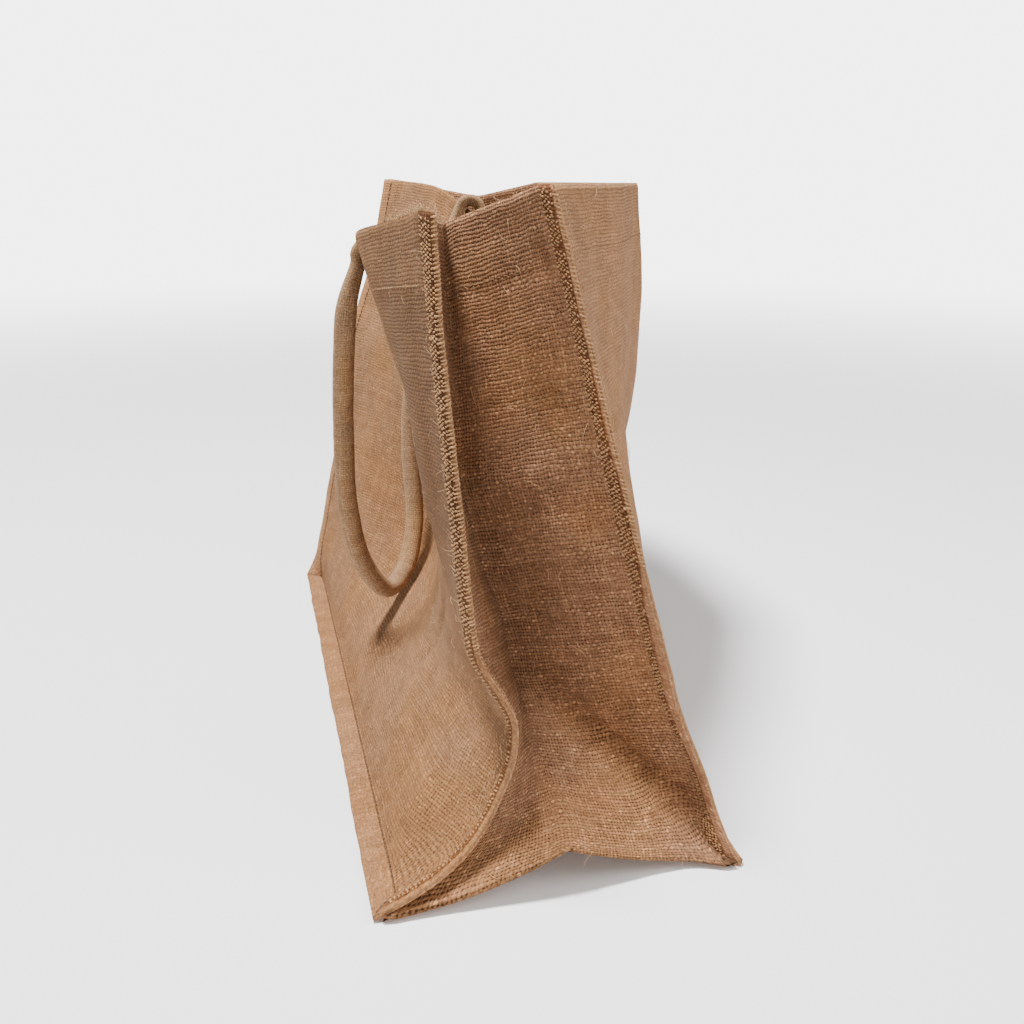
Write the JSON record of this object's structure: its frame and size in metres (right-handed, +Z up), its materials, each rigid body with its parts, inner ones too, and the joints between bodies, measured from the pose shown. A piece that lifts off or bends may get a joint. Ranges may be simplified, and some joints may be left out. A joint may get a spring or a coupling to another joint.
{
  "type": "jute tote bag",
  "caption": "Upright jute shopping bag, open at the top, slumped to one side, with folded gusset ends and padded rope handles hanging over the rim.",
  "frame": {"origin": "middle of the whole outline, on the floor that the base seams rest on", "axes": "+X along the long side towards the end with the deep fold, -Y the panel that its handle hangs over, +Z up"},
  "size_m": [0.448, 0.2282, 0.3225],
  "materials": {
    "jute_panel": "coarse plain weave",
    "jute_gusset": "coarse open plain weave",
    "jute_rope": "woven cover over cord"
  },
  "bodies": {
    "root": {"front_panel": "jute_panel", "back_panel": "jute_panel", "gusset_strip": "jute_gusset", "handle_front": "jute_rope", "handle_back": "jute_rope"}
  },
  "joints": []
}
